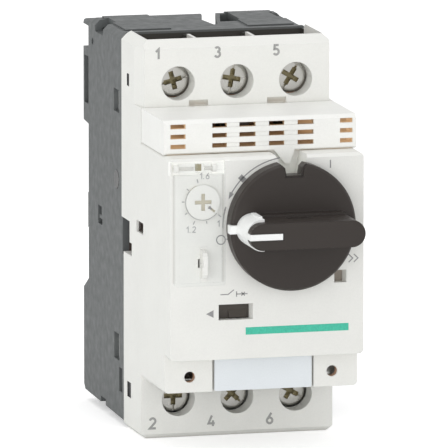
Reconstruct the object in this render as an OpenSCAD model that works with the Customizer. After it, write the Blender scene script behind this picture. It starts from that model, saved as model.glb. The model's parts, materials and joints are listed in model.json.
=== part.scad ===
// Motor protection breaker, three poles, for a 35 mm top hat rail.
// Origin: centre of the rail seat. X to the right, front faces -Y, Z up. Millimetres.

/* [Body] */
// Width of the front cover
body_w = 44.5; // [44:0.5:46]
// Upper rim of the wire entries above the rail centre
top_z = 43.9; // [43:0.1:45]
// Underside of the body below the rail centre
foot_z = 46.5; // [46:0.1:48]
// Wall thickness of the front cover
wall = 2; // [1.6:0.1:2.2]

/* [Depths measured from the rearmost plane] */
// Depth of the rail channel
rail_deep = 4.7; // [4.5:0.1:5]
// Where the rear base meets the front cover
joint_deep = 36.5; // [36:0.1:37]
// Face of the terminal blocks
terminal_deep = 54.2; // [54:0.1:55]
// Face of the vented cover
vent_deep = 74.5; // [73:0.1:75]
// Face of the label strip
label_deep = 75.2; // [74.5:0.1:76]
// Main face
face_deep = 80.5; // [80:0.1:81]
// Front of the knob disc
disc_deep = 84.8; // [84.6:0.1:85.4]
// Front of the knob grip
grip_deep = 97; // [96:0.1:98]

/* [Rail] */
// Height of the rail channel
rail_gap = 35.7; // [35.5:0.1:36]

/* [Terminals] */
// Distance between poles
pole_pitch = 13.6; // [13.4:0.1:13.8]
// Height of the upper screws
line_z = 34; // [33.8:0.1:34.2]
// Depth of the lower screws below the rail centre
load_z = 37.75; // [37.5:0.05:38]
// Radius of the screwdriver holes
driver_r = 3.85; // [3.8:0.05:4]

/* [Knob] */
// Sideways position of the knob axis
knob_x = 5; // [4.8:0.1:5.2]
// Height of the knob axis
knob_z = 5.5; // [5.3:0.1:5.7]
// Radius of the knob disc
knob_r = 14.4; // [14:0.1:14.6]
// Half length of the grip
grip_half = 13.2; // [13:0.1:13.5]
// Height of the grip at its front
grip_h = 6; // [5.6:0.1:6.4]

/* [Setting dial] */
// Sideways position of the dial
dial_x = -14.8; // [-15:0.1:-14.6]
// Height of the dial
dial_z = 11.3; // [11.1:0.1:11.5]
// Radius of the dial
dial_r = 3.9; // [3.7:0.1:4]

/* [Hidden] */
$fn = 64;

half_w = body_w / 2;
base_half = half_w - 0.25;
inner_half = base_half - 1.8;
base_top = 42.6;
base_foot = 45.1;
seam_z = 28.9;
block_top = 21;
face_foot = -24.4;
strip_foot = -32.5;
rim_slope = 2;
rail_half = rail_gap / 2;
play = 0.05;
rib_x = pole_pitch / 2;
rib_t = 1.4;

white = [0.93, 0.93, 0.91];
grey = [0.42, 0.43, 0.43];
zinc = [0.75, 0.75, 0.74];
copper = [0.78, 0.47, 0.3];
dark = [0.2, 0.18, 0.17];

// Y of a plane that lies this far in front of the rearmost plane
function y_at(deep) = rail_deep - deep;
// X of a pole, counted 1 to 3 from the left
function pole_x(n) = (n - 2) * pole_pitch;
// X and Z of a terminal: 1 to 3 along the top, 4 to 6 along the bottom
function terminal_x(n) = pole_x(n > 3 ? n - 3 : n);
function terminal_z(n) = n > 3 ? -load_z : line_z;

// Box between two X, two depths and two Z
module block(x, deep, z)
    translate([x[0], y_at(deep[1]), z[0]])
        cube([x[1] - x[0], deep[1] - deep[0], z[1] - z[0]]);

// Cylinder along the depth
module rod(x, z, r, deep)
    translate([x, y_at(deep[0]), z])
        rotate([90, 0, 0])
            cylinder(r = r, h = deep[1] - deep[0]);

// Cylinder along X
module cross_rod(x, deep, z, r)
    translate([x[0], y_at(deep), z])
        rotate([0, 90, 0])
            cylinder(r = r, h = x[1] - x[0]);

// Cylinder along Z
module post(x, deep, z, r)
    translate([x, y_at(deep), z[0]])
        cylinder(r = r, h = z[1] - z[0]);

// Side outline, given as depth and Z, extruded along X
module side_form(x, outline)
    translate([x[0], 0, 0])
        rotate([90, 0, 90])
            linear_extrude(x[1] - x[0])
                polygon([for (p = outline) [y_at(p[0]), p[1]]]);

// Front outline, in X and Z, extruded along the depth
module front_form(deep)
    translate([0, y_at(deep[0]), 0])
        rotate([90, 0, 0])
            linear_extrude(deep[1] - deep[0])
                children();

// Rectangle with round corners
module soft_square(x, z, r) {
    translate([x[0] + r, z[0]])
        square([x[1] - x[0] - 2 * r, z[1] - z[0]]);
    translate([x[0], z[0] + r])
        square([x[1] - x[0], z[1] - z[0] - 2 * r]);
    for (cx = [x[0] + r, x[1] - r])
        for (cz = [z[0] + r, z[1] - r])
            translate([cx, cz])
                circle(r);
}

// ---------------------------------------------------------------- rear base

base_corner = 1.2;
back_gap = [35.2, 40.4];
lower_slope = 2.6;
floor_deep = rail_deep + 2.5;
block_deep = 9;
chamber_back = [32.7, 34.5];
lug_deep = [10.9, 18.4];
latch_half = 6;
latch_lip = 4.5;

module base_outline()
    side_form([-base_half, base_half], [
        [base_corner, -base_foot + 1], [0, -base_foot + 1 + base_corner],
        [0, -rail_half - lower_slope], [rail_deep, -rail_half],
        [rail_deep, rail_half], [0, rail_half + 0.4],
        [0, back_gap[0]], [rail_deep, back_gap[0]], [rail_deep, back_gap[1]], [0, back_gap[1]],
        [0, base_top - 2], [0.5, base_top - 1.3], [1.4, base_top - 0.9],
        [6.4, base_top - 0.9], [7.2, base_top],
        [joint_deep - 0.1, base_top], [joint_deep - 0.1, -base_foot]]);

// Lower side walls reach a little further forward than the upper ones
module base_lower_walls()
    for (side = [-1, 1])
        mirror_x(side)
            block([inner_half, base_half], [joint_deep - 0.2, joint_deep + 1.7], [-base_foot, -7]);

module mirror_x(side)
    mirror([side < 0 ? 1 : 0, 0, 0])
        children();

module base_hollow() {
    upper = chamber_back[0];
    block([-inner_half, inner_half], [floor_deep, joint_deep + 2], [-20, 24]);
    block([-inner_half, inner_half], [block_deep, joint_deep + 2], [-base_foot + 1.8, -19]);
    block([-inner_half, inner_half], [block_deep, upper], [23, base_top - 1.8]);
    block([-inner_half, inner_half], [chamber_back[1], joint_deep + 2], [23, base_top + 1]);
    block([-inner_half, inner_half], [upper - 0.1, joint_deep + 2], [23, 27.8]);
    block([-inner_half, inner_half], [chamber_back[1], joint_deep + 2], [-base_foot - 1, -30]);
}

module base_ribs()
    for (side = [-1, 1])
        difference() {
            block([side * rib_x - rib_t / 2, side * rib_x + rib_t / 2], [floor_deep - 0.1, joint_deep - 0.3],
                [-base_foot + 1, base_top - 0.5]);
            block([-inner_half, inner_half], [25, joint_deep + 1], [-3.5, 11.5]);
        }

// Windows that the snap hooks of the front cover reach into
module snap_windows()
    for (side = [-1, 1])
        mirror_x(side) {
            block([inner_half - 1, base_half + 1], [28.4, 33.2], [24.5, 29.7]);
            block([inner_half - 1, base_half + 1], [28.4, 33.2], [-32.2, -26.1]);
            block([inner_half - 1.7, inner_half + 0.1], [chamber_back[0] - 0.1, chamber_back[1] + 0.1],
                [27.7, 29.5]);
        }

module side_details()
    for (side = [-1, 1])
        mirror_x(side) {
            block([base_half - 1.2, base_half + 1], [0.85, 4.75], [22.4, 33.3]);
            cross_rod([base_half - 2.5, base_half + 1], 8.6, 37.4, 0.8);
            block([base_half - 1, base_half + 1], [13.6, 14.9], [-3.6, 0.6]);
            block([base_half - 1, base_half + 1], [13.6, 16.9], [-1.4, 0.6]);
            block([base_half - 1, base_half + 1], [14.9, 17.6], [-3.6, -2.2]);
            block([base_half - 0.6, base_half + 1], [33, 35.9], [-39.1, -33.6]);
            block([base_half - 1.2, base_half + 1], [15.8, 20.4], [-base_foot - 1, -43.2]);
            cross_rod([base_half - 1.6, base_half + 1], 30.9, 9.1, 2.15);
        }

// Low pads at both ends of the channel floor, inside the hollow of the rail
module floor_pads()
    for (side = [-1, 1])
        mirror_x(side)
            block([base_half - 3, base_half], [rail_deep - 0.5, rail_deep + 1], [-6, 2]);

// Walls behind the side notches of the front cover
module inner_liner()
    for (side = [-1, 1])
        mirror_x(side) {
            block([inner_half - 1.3, inner_half - 0.3], [34, 47.5], [-10, 6]);
            block([inner_half - 1.3, inner_half - 0.3], [47, 58], [-4, 6]);
            block([inner_half - 1.3, inner_half + 0.2], [34, 36], [-10, 6]);
        }

// Raised pads and front rim of the top
module top_pads() {
    for (side = [-1, 1])
        mirror_x(side)
            block([9, inner_half - 0.6], [8, 30], [base_top - 1, base_top + 0.4]);
    side_form([-base_half, base_half], [
        [chamber_back[0] - 0.8, base_top - 1], [chamber_back[1], base_top - 1],
        [chamber_back[1], base_top + 0.4], [chamber_back[0], base_top + 0.4]]);
}

// Hole in the top with this outline, given as X and depth
module top_hole(floor_z, outline)
    translate([0, 0, floor_z])
        linear_extrude(base_top + 1 - floor_z)
            polygon([for (p = outline) [p[0], y_at(p[1])]]);

// Cable tie gap, clip pockets and slanted side edges of the top
module top_details() {
    top_hole(38, [[5.2, -1], [3.4, 9.6], [1.5, 15.7], [2.4, 24.5], [3.2, 24.5], [5.3, 15.2], [7, 8],
        [9.3, -1]]);
    top_hole(40, [[7.8, 9], [9.6, 9], [9.6, 20.5], [4.9, 20.5], [6.1, 15.6]]);
    for (side = [-1, 1])
        mirror_x(side) {
            block([base_half - 3.2, base_half + 1], lug_deep, [base_top - 2.6, base_top + 1]);
            front_form([-1, joint_deep + 1])
                polygon([[base_half - 1.2, base_top + 1], [base_half - 1.2, base_top],
                    [base_half, base_top - 1.2], [base_half + 1, base_top - 1.2],
                    [base_half + 1, base_top + 1]]);
        }
    for (x = [-15, 13])
        block([x - 3, x + 3], [3, 6], [41.3, base_top + 1]);
}

module latch_pocket() {
    block([-latch_half, latch_half], [0.8, 3.8], [-base_foot - 1, -16]);
    block([-latch_lip, latch_lip], [-1, 1], [-base_foot - 1, -16]);
}

module spring_stop()
    block([-1.2, 1.2], [1.2, 4], [-38, -36.3]);

// Fixed hooks that hold the upper edge of the rail
hook_x = [8, 18];
hook_reach = 1.6;

module rail_hooks()
    for (side = [-1, 1])
        mirror_x(side)
            side_form(hook_x, [[0.6, rail_half + 1], [0.6, rail_half - 1], [1.6, rail_half - hook_reach],
                [3.2, rail_half - hook_reach], [3.2, rail_half + 1]]);

// Shallow pockets in the channel floor, right under the hooks and the latch
module floor_pockets() {
    deep = [rail_deep - 0.5, rail_deep + 0.4];
    for (side = [-1, 1])
        mirror_x(side)
            block([hook_x[0] - 0.2, hook_x[1] + 0.2], deep, [rail_half - hook_reach - 0.2, rail_half]);
    block([-latch_half - 0.2, latch_half + 0.2], deep, [-rail_half, -rail_half + 1.6]);
}

module base_housing()
    color(grey) {
        difference() {
            union() {
                difference() {
                    union() {
                        base_outline();
                        base_lower_walls();
                    }
                    base_hollow();
                }
                base_ribs();
                floor_pads();
                inner_liner();
                top_pads();
            }
            snap_windows();
            side_details();
            top_details();
            latch_pocket();
            floor_pockets();
        }
        spring_stop();
        rail_hooks();
    }

// ---------------------------------------------------------------- front cover

tongue_top = [1.6, 9.4];
tongue_foot = [4.6, 8.5];
tongue_foot_z = 15.7;
tongue_t = 1.2;
test_slot_x = [-11.1, -3.2];
test_slot_z = [-15.5, -12];
strip_hole_x = 16.4;
strip_hole_z = -29;
strip_hole_r = 1.25;
window_x = [15.5, 18.3];
window_z = [-8.1, -5.3];
hub_r = 4.2;
stem_r = 2;
cover_left = -21.6;
cover_right = -9.9;
cover_foot = -7.4;
hinge_z = 19;
hinge_deep = face_deep + 0.9;
ear_x = [cover_left, -12.9];
ear_t = 0.9;
ear_r = 0.8;
pin_r = 0.4;
fin_x = -14.9;
fin_reach = 3.3;
slant_deep = 48;

module cover_outline()
    intersection() {
        side_form([-half_w, half_w], [
            [joint_deep, -foot_z], [terminal_deep - 1, -foot_z], [terminal_deep, -foot_z + 1],
            [terminal_deep, strip_foot], [label_deep, strip_foot], [label_deep, face_foot],
            [face_deep, face_foot], [face_deep, block_top - 0.7], [face_deep - 0.7, block_top],
            [terminal_deep, block_top], [terminal_deep, top_z - rim_slope],
            [terminal_deep - rim_slope, top_z], [joint_deep + 1.2, top_z], [joint_deep, top_z - 0.8]]);
        front_form([joint_deep - 1, face_deep + 1])
            polygon([[-half_w, -foot_z + 1.2], [-half_w + 1.2, -foot_z], [half_w - 1.2, -foot_z],
                [half_w, -foot_z + 1.2], [half_w, top_z - rim_slope], [half_w - rim_slope, top_z],
                [-half_w + rim_slope, top_z], [-half_w, top_z - rim_slope]]);
    }

module cover_hollow() {
    h = half_w - wall;
    side_form([-h, h], [
        [joint_deep - 1, -foot_z - 1], [terminal_deep - wall, -foot_z - 1],
        [terminal_deep - wall, strip_foot - wall + 1], [label_deep - wall, strip_foot + wall],
        [label_deep - wall, face_foot + wall], [face_deep - wall, face_foot + wall],
        [face_deep - wall, block_top - wall], [terminal_deep - wall, block_top - wall],
        [terminal_deep - wall, top_z + 1], [joint_deep - 1, top_z + 1]]);
}

// The rear edge of the side walls steps back in the middle and below
module rear_steps()
    for (side = [-1, 1])
        mirror_x(side) {
            block([half_w - 3, half_w + 1], [joint_deep - 1, 38.3], [-foot_z - 1, 1.5]);
            block([half_w - 3, half_w + 1], [joint_deep - 1, 43.8], [-3.3, 1.5]);
            block([half_w - 3, half_w + 1], [joint_deep - 1, 45.8], [-6.2, -3.3]);
            block([half_w - 0.4, half_w + 1], [41.4, 43.5], [32.1, 34.9]);
            block([half_w - 0.4, half_w + 1], [41.4, 44.9], [-38.8, -35.3]);
            block([half_w - 3, half_w + 1], [50, 56.3], [0.3, 2.9]);
            block([half_w - 3, half_w - 0.6], [44.4, 56.8], [-0.1, 3.3]);
        }

// The sides of the upper terminal block lean inwards towards its face
module side_slants()
    for (side = [-1, 1])
        mirror_x(side)
            translate([0, 0, seam_z - 0.1])
                linear_extrude(top_z)
                    polygon([[half_w, y_at(slant_deep)], [half_w - 0.8, y_at(terminal_deep)],
                        [half_w - 0.8, y_at(terminal_deep + 1)], [half_w + 1, y_at(terminal_deep + 1)],
                        [half_w + 1, y_at(slant_deep)]]);

module driver_holes()
    for (n = [1:6])
        rod(terminal_x(n), terminal_z(n), driver_r, [terminal_deep - 6, terminal_deep + 1]);

// Sleeves that guide the screwdriver on to the screws
module driver_sleeves()
    for (n = [1:6])
        rod(terminal_x(n), terminal_z(n), driver_r + 0.9, [head_front, terminal_deep - 1]);

module tongue_recess()
    front_form([vent_deep - tongue_t - 0.1, face_deep + 1])
        polygon([[tongue_foot[0], tongue_foot_z], [tongue_foot[1], tongue_foot_z],
            [tongue_top[1], block_top + 1], [tongue_top[0], block_top + 1]]);

module tongue_pocket()
    front_form([vent_deep - tongue_t - 1.4, face_deep - 1])
        polygon([[tongue_foot[0] - 1, tongue_foot_z - 1], [tongue_foot[1] + 1, tongue_foot_z - 1],
            [tongue_top[1] + 1.2, block_top], [tongue_top[0] - 1.2, block_top]]);

// Opening through the face whose right side slopes towards the front
module flared_slot(x, z, flare)
    translate([0, 0, z[0]])
        linear_extrude(z[1] - z[0])
            polygon([[x[0], y_at(face_deep - 3)], [x[1] - flare, y_at(face_deep - 3)],
                [x[1] - flare, y_at(face_deep - wall)], [x[1], y_at(face_deep)],
                [x[1], y_at(face_deep + 1)], [x[0], y_at(face_deep + 1)]]);

module face_openings() {
    rod(knob_x, knob_z, hub_r + 0.1, [face_deep - 3, face_deep + 1]);
    rod(dial_x, dial_z, stem_r + play, [face_deep - 3, face_deep + 1]);
    flared_slot(test_slot_x, test_slot_z, 0.5);
    flared_slot(window_x, window_z, 0.5);
    block([fin_x - 0.95, fin_x - 0.5], [face_deep - 3, face_deep + 1], [-3.5, -1.5]);
    for (side = [-1, 1])
        rod(side * strip_hole_x, strip_hole_z, strip_hole_r, [label_deep - 3, label_deep + 1]);
    block([-11.2, 12.2], [label_deep - 0.5, label_deep + 1], [strip_foot - 1, face_foot - 0.1]);
    for (x = [-11.2, 11.7])
        block([x, x + 0.5], [label_deep - 1.3, label_deep + 1], [strip_foot - 1, face_foot - 0.1]);
    for (x = [-11.1, 7])
        side_form([x, x + 4.4], [[terminal_deep + 1, seam_z + 1.2], [terminal_deep - 0.3, seam_z + 1.2],
            [terminal_deep - 1.4, seam_z], [terminal_deep - 1.4, seam_z - 1],
            [terminal_deep + 1, seam_z - 1]]);
    block([-11.6, 11.6], [terminal_deep - 3, terminal_deep + 1], [block_top + 1.5, seam_z - 2.5]);
}

// Square corner with a round taken out of it, for rounding an outline's corner
module corner_cut(x, z, side, up, r, deep)
    front_form(deep)
        difference() {
            translate([x + (side > 0 ? -r : -1), z + (up > 0 ? -r : -1)])
                square(r + 1);
            translate([x - side * r, z - up * r])
                circle(r);
        }

// Round corners of the stepped front
module corner_rounds()
    for (side = [-1, 1]) {
        x = side * half_w;
        corner_cut(x, face_foot, side, -1, 1, [label_deep, face_deep + 1]);
        corner_cut(x, strip_foot, side, -1, 1, [terminal_deep, label_deep + 1]);
        corner_cut(x, block_top, side, 1, 1, [terminal_deep, face_deep + 1]);
    }

// Posts that carry the steel frame of the mechanism
module frame_posts()
    for (p = [[-3.6, 13], [14.6, 13], [8, -14.2], [14.6, -14.2]])
        rod(p[0], p[1], 1.6, [68.7, face_deep - 1]);

// Walls that keep the three wire entries apart, thinner above than below
module entry_walls()
    for (side = [-1, 1])
        for (w = [[24, top_z - 1.4, 0.7], [-foot_z + 0.4, -28, rib_t]])
            block([side * rib_x - w[2] / 2, side * rib_x + w[2] / 2],
                [joint_deep + 0.3, terminal_deep - wall + 0.1], [w[0], w[1]]);

// Skirt and snap hooks that go inside the base
module snap_hooks()
    for (side = [-1, 1])
        mirror_x(side)
            for (z = [[24.9, 29.3], [-31.8, -26.5]]) {
                block([inner_half - 1.5, inner_half - 0.2], [28, 39.5], z);
                side_wedge([inner_half - 0.3, base_half - 0.5], [29, 31.5], z);
                block([inner_half - 1.5, half_w - 1], [38.6, 40.5], z);
            }

// Ramp of a snap hook, highest at its front
module side_wedge(x, deep, z)
    translate([0, 0, z[0]])
        linear_extrude(z[1] - z[0])
            polygon([[x[0], y_at(deep[0])], [x[1], y_at(deep[1]) + 0.4], [x[1], y_at(deep[1])],
                [x[0], y_at(deep[1])]]);

// Eyelet for a seal wire, reaching out through the clear cover
module seal_fin()
    difference() {
        side_form([fin_x - 0.5, fin_x + 0.5], [[face_deep - 1, -6.1], [face_deep + fin_reach - 0.7, -5.4],
            [face_deep + fin_reach, -4.6], [face_deep + fin_reach, -0.6],
            [face_deep + fin_reach - 0.7, 0.2], [face_deep - 1, 0.9]]);
        cross_rod([fin_x - 1, fin_x + 1], face_deep + fin_reach - 1.1, -2.5, 0.8);
    }

// Recess in the face that the barrel of the clear cover turns in
module hinge_recess()
    block([cover_left - 0.2, cover_right + 0.2], [face_deep - 0.6, face_deep + 1],
        [hinge_z - 1.6, hinge_z + 1.45]);

// Two ears that hold the hinge pins of the clear cover
module hinge_ears()
    for (x = ear_x)
        difference() {
            union() {
                block([x, x + ear_t], [face_deep - 1, hinge_deep], [hinge_z - ear_r, hinge_z + ear_r]);
                cross_rod([x, x + ear_t], hinge_deep, hinge_z, ear_r);
            }
            cross_rod([x - 1, x + ear_t + 1], hinge_deep, hinge_z, pin_r + play);
        }

module front_cover()
    color(white)
        union() {
            difference() {
                union() {
                    difference() {
                        cover_outline();
                        cover_hollow();
                    }
                    driver_sleeves();
                    tongue_pocket();
                }
                driver_holes();
                tongue_recess();
                face_openings();
                hinge_recess();
                rear_steps();
                side_slants();
                corner_rounds();
            }
            frame_posts();
            entry_walls();
            snap_hooks();
            seal_fin();
            hinge_ears();
        }

// ---------------------------------------------------------------- vented cover

vent_t = 1.5;
vent_half = half_w - 0.1;
slot_h = 1;
slot_pitch = 2.25;
slot_low = 22.4;
tab_x = 9.6;
tab_half = 1.7;
slot_columns = [[-20.6, -17.1], [-11, -7.6], [-4.7, -1], [2.1, 5.6], [8.7, 12.3], [18.4, 21.3]];

module vent_cover()
    color(white)
        union() {
            difference() {
                side_form([-vent_half, vent_half], [[terminal_deep + 0.1, block_top + 0.1],
                    [vent_deep - 0.4, block_top + 0.1], [vent_deep, block_top + 0.5],
                    [vent_deep, seam_z - 1], [vent_deep - 1, seam_z - 0.1],
                    [terminal_deep + 0.5, seam_z - 0.1], [terminal_deep + 0.1, seam_z - 0.5]]);
                block([-vent_half + vent_t, vent_half - vent_t], [terminal_deep - 1, vent_deep - vent_t],
                    [block_top + vent_t, seam_z - vent_t]);
                for (column = slot_columns)
                    for (row = [0:2])
                        block(column, [vent_deep - 3, vent_deep + 1],
                            [slot_low + row * slot_pitch, slot_low + row * slot_pitch + slot_h]);
                for (row = [0:2])
                    block([-7.7, 8.8], [vent_deep - 0.25, vent_deep + 1],
                        [slot_low + row * slot_pitch, slot_low + row * slot_pitch + slot_h]);
            }
            front_form([vent_deep - tongue_t, vent_deep])
                polygon([[5.7, 18.2], [6.9, 18.2], [8.3, block_top + 1.4], [2.4, block_top + 1.4]]);
            for (side = [-1, 1]) {
                tab = [side * tab_x - tab_half, side * tab_x + tab_half];
                block(tab, [terminal_deep + 0.1, terminal_deep + 3], [seam_z - 3.8, seam_z - 1]);
                block(tab, [terminal_deep - 3.4, terminal_deep + 1], [seam_z - 3.8, seam_z - 2.7]);
            }
        }

// ---------------------------------------------------------------- small parts of the face

module marker_label()
    color([0.9, 0.93, 0.96])
        front_form([label_deep - 0.45, label_deep + 0.15])
            soft_square([-10.7, 11.7], [strip_foot + 0.1, face_foot - 0.3], 0.4);

barrel_r = 1.25;
peep_x = [-16.5, -14.8];
flap_rail = 0.4;

module setting_cover()
    color([0.9, 0.95, 0.95, 0.4])
        difference() {
            union() {
                front_form([face_deep + 0.7, face_deep + 1.6])
                    soft_square([cover_left, cover_right], [cover_foot, hinge_z + 1.15], 0.6);
                front_form([face_deep + 0.7, face_deep + 2.1])
                    soft_square([cover_left + 1, cover_right - 1], [cover_foot + 0.8, 1.6], 0.5);
                cross_rod([cover_left, ear_x[1]], hinge_deep, hinge_z, barrel_r);
                for (x = [cover_left, cover_right - flap_rail])
                    block([x, x + flap_rail], [face_deep + 0.12, face_deep + 1.2],
                        [cover_foot + 0.6, hinge_z - 1.6]);
            }
            block([fin_x - 0.8, fin_x + 0.8], [face_deep - 1, face_deep + 4], [-6.6, 1.4]);
            cross_rod([cover_left - 1, cover_right], hinge_deep, hinge_z, pin_r + play);
            block(peep_x, [face_deep - 1, face_deep + 4], [hinge_z - 0.9, hinge_z + 1]);
            for (x = ear_x)
                block([x - 0.15, x + ear_t + 0.15], [face_deep - 1, face_deep + 4],
                    [hinge_z - ear_r - 0.4, hinge_z + 2]);
        }

// One pin on each side of the square opening
module setting_cover_pins()
    color(zinc)
        for (x = [[ear_x[0] + 0.1, peep_x[0] - 0.6], [peep_x[1] + 0.3, ear_x[1] + ear_t]])
            cross_rod(x, hinge_deep, hinge_z, pin_r);

// Screwdriver cross and pointer of the dial
module dial_marks() {
    for (turn = [0, 90])
        rotate([0, turn, 0])
            translate([-1.9, -1, -0.42])
                cube([3.8, 2, 0.84]);
    rotate([0, 40, 0])
        translate([1.6, -1, -0.25])
            cube([1.9, 2, 0.5]);
}

module setting_dial()
    color(white)
        difference() {
            union() {
                rod(dial_x, dial_z, dial_r, [face_deep + 0.05, face_deep + 0.55]);
                rod(dial_x, dial_z, stem_r, [face_deep - 8, face_deep + 0.3]);
                block([dial_x - 0.8, dial_x + 0.8], [face_deep - 8, face_deep - 5], [dial_z - 5, dial_z]);
            }
            translate([dial_x, y_at(face_deep + 0.55) - 0.65, dial_z])
                dial_marks();
        }

module test_slider()
    color([0.45, 0.36, 0.3])
        union() {
            block([-14.6, 0.4], [face_deep - 3.6, face_deep - 2.1], [-17.2, -10.4]);
            side_form([-8.4, -4.4], [[face_deep - 2.3, -15.2], [face_deep - 1.5, -15.2],
                [face_deep - 2.1, -13.4], [face_deep - 2.3, -13.4]]);
        }

// Plate seen through the small square window of the face
module window_plate()
    color([0.45, 0.4, 0.36])
        block([window_x[0] - 1, window_x[1] + 1], [face_deep - 3.2, face_deep - wall], [window_z[0] - 1,
            window_z[1] + 1]);

// ---------------------------------------------------------------- knob

notch_foot = knob_z + knob_r - 2.9;
shaft_r = 3;

module knob_disc() {
    translate([knob_x, y_at(face_deep + 0.25), knob_z])
        rotate([90, 0, 0])
            rotate_extrude($fn = 96)
                polygon([[0, 0], [knob_r, 0], [knob_r, disc_deep - face_deep - 0.8],
                    [knob_r - 0.5, disc_deep - face_deep - 0.25], [0, disc_deep - face_deep - 0.25]]);
    rod(knob_x, knob_z, hub_r, [face_deep - 2.4, face_deep + 1]);
}

// Bar with round ends that the hand turns
module grip_bar(half, r, deep)
    front_form(deep) {
        translate([knob_x - half + r, knob_z - r])
            square([2 * (half - r), 2 * r]);
        for (side = [-1, 1])
            translate([knob_x + side * (half - r), knob_z])
                circle(r);
    }

// Notch in the rim that flares outwards, with a step around its front
module rim_notch() {
    front_form([face_deep - 0.5, disc_deep + 1])
        notch_outline(0);
    front_form([disc_deep - 0.7, disc_deep + 1])
        notch_outline(0.4);
}

module notch_outline(grow)
    translate([knob_x, notch_foot])
        polygon([[-1.5 - grow, -grow], [1.8 + grow, -grow], [2.1 + grow, 1.7], [3.6 + grow, 3.4],
            [3.6 + grow, 4], [-3.5 - grow, 4], [-3.5 - grow, 3.2], [-1.8 - grow, 1.7]]);

// Grooves for the white slider: in the disc, around the end of the grip and in its front
cap_r = grip_h / 2 + 0.6;
cap_in = grip_h / 2 - 0.1;
cap_deep = [disc_deep + 0.05, disc_deep + 9.4];
cap_x = knob_x - grip_half + cap_r;
cap_end = cap_x + 0.4;
blade_h = 1.4;
blade_end = knob_x - 5.7;
arm_w = 1.9;
arm_tip = knob_x - 14.8;

module slider_room() {
    left = arm_tip - 1;
    arm_h = [knob_z - arm_w / 2 - 0.1, knob_z + arm_w / 2 + 0.1];
    blade = [knob_z - blade_h / 2 - 0.1, knob_z + blade_h / 2 + 0.1];
    block([left, cap_x], [disc_deep - 1.6, disc_deep + 1], arm_h);
    difference() {
        block([left, cap_end + 0.1], [disc_deep, cap_deep[1] + 0.1], [knob_z - 5, knob_z + 5]);
        front_form([disc_deep - 1, grip_deep])
            cap_outline(cap_in - 0.1);
    }
    block([left, blade_end + 0.2], [grip_deep - 1.5, grip_deep + 1], blade);
    block([left, knob_x - grip_half + 1.1], [disc_deep, grip_deep + 1], blade);
}

// Half round end of the grip, continued to the right
module cap_outline(r) {
    translate([cap_x, knob_z])
        circle(r);
    translate([cap_x, knob_z - r])
        square([6, 2 * r]);
}

// Pointed pocket in the upper flank of the grip, for a padlock shackle
module shackle_pocket()
    translate([0, 0, knob_z + 1])
        linear_extrude(5)
            polygon([for (p = [[-3, 4.2], [1.6, 4.2], [3.4, 5.2], [1.6, 6.2], [-3, 6.2]])
                [knob_x + p[0], y_at(disc_deep + p[1])]]);

module rotary_knob()
    color(dark)
        difference() {
            union() {
                knob_disc();
                grip_bar(grip_half, grip_h / 2 + 0.4, [disc_deep - 1, disc_deep + 3]);
                grip_bar(grip_half, grip_h / 2, [disc_deep - 1, grip_deep]);
            }
            rim_notch();
            slider_room();
            shackle_pocket();
            rod(knob_x, knob_z, shaft_r + play, [face_deep - 4, face_deep + 3.4]);
        }

// Cap around the end of the grip, arm that reaches over the rim, and blade in the grip's front
module lock_slider()
    color([0.97, 0.97, 0.95])
        union() {
            difference() {
                front_form(cap_deep)
                    cap_outline(cap_r);
                front_form([disc_deep - 1, grip_deep])
                    cap_outline(cap_in);
                block([cap_end, knob_x + 6], [disc_deep - 2, grip_deep + 1], [knob_z - 5, knob_z + 5]);
            }
            block([cap_x - 0.7, cap_x + 0.3], [cap_deep[0] + 2, cap_deep[1] - 1.5],
                [knob_z + cap_r - 0.3, knob_z + cap_r + 0.4]);
            block([arm_tip, knob_x - grip_half + 0.5], [disc_deep - 1.5, disc_deep + 0.6],
                [knob_z - arm_w / 2, knob_z + arm_w / 2]);
            block([knob_x - grip_half + 0.05, knob_x - grip_half + 1], [disc_deep + 0.1, grip_deep + 0.02],
                [knob_z - blade_h / 2, knob_z + blade_h / 2]);
            block([knob_x - grip_half + 0.05, blade_end], [grip_deep - 1.4, grip_deep + 0.02],
                [knob_z - blade_h / 2, knob_z + blade_h / 2]);
        }

module drive_shaft()
    color(zinc)
        union() {
            rod(knob_x, knob_z, shaft_r, [58, face_deep + 3.2]);
            rod(knob_x, knob_z, 5, [56, 58.5]);
            rod(knob_x + 3.4, knob_z, 0.9, [53, 57]);
        }

// ---------------------------------------------------------------- rail latch

window_half = 1.7;
spring_z = [-36.2, -28.2];

module rail_latch()
    color(grey)
        difference() {
            union() {
                side_form([-latch_half + 0.2, latch_half - 0.2], [[1, -43.4], [3.6, -43.4],
                    [3.6, -rail_half + 0.3], [2.4, -rail_half + 1.3], [1, -rail_half + 1.3]]);
                block([-latch_lip + 0.2, latch_lip - 0.2], [0.1, 1.1], [-43.4, -39.4]);
            }
            block([-window_half, window_half], [0, 5], [-39.3, spring_z[1] + 0.1]);
            block([-2.4, 2.4], [-1, 1.9], [-42.6, -40.4]);
        }

// Turns of a coil spring standing on a point, joined by a thin core line
module coil(turns, pitch, r, wire)
    for (i = [0:turns - 1])
        translate([0, 0, wire + i * pitch]) {
            rotate_extrude($fn = 32)
                translate([r - wire, 0])
                    circle(wire, $fn = 16);
            if (i < turns - 1)
                rotate([0, 0, i * 180])
                    translate([r - wire, 0, 0])
                        cylinder(r = wire * 0.8, h = pitch, $fn = 16);
        }

module latch_spring()
    color(zinc)
        translate([0, y_at(2.5), spring_z[0]])
            coil(7, 1.2, 1.1, 0.25);

// ---------------------------------------------------------------- terminals

head_front = terminal_deep - 4.9;
head_r = 3.6;
thread_r = 2;
clamp_t = 1.2;
shank_end = 39;
rail_bar = [39.4, 41.4];

// How far each screw was turned when it was last used, in degrees
screw_turns = [-15, -80, -58, 90, 45, 30];

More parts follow.
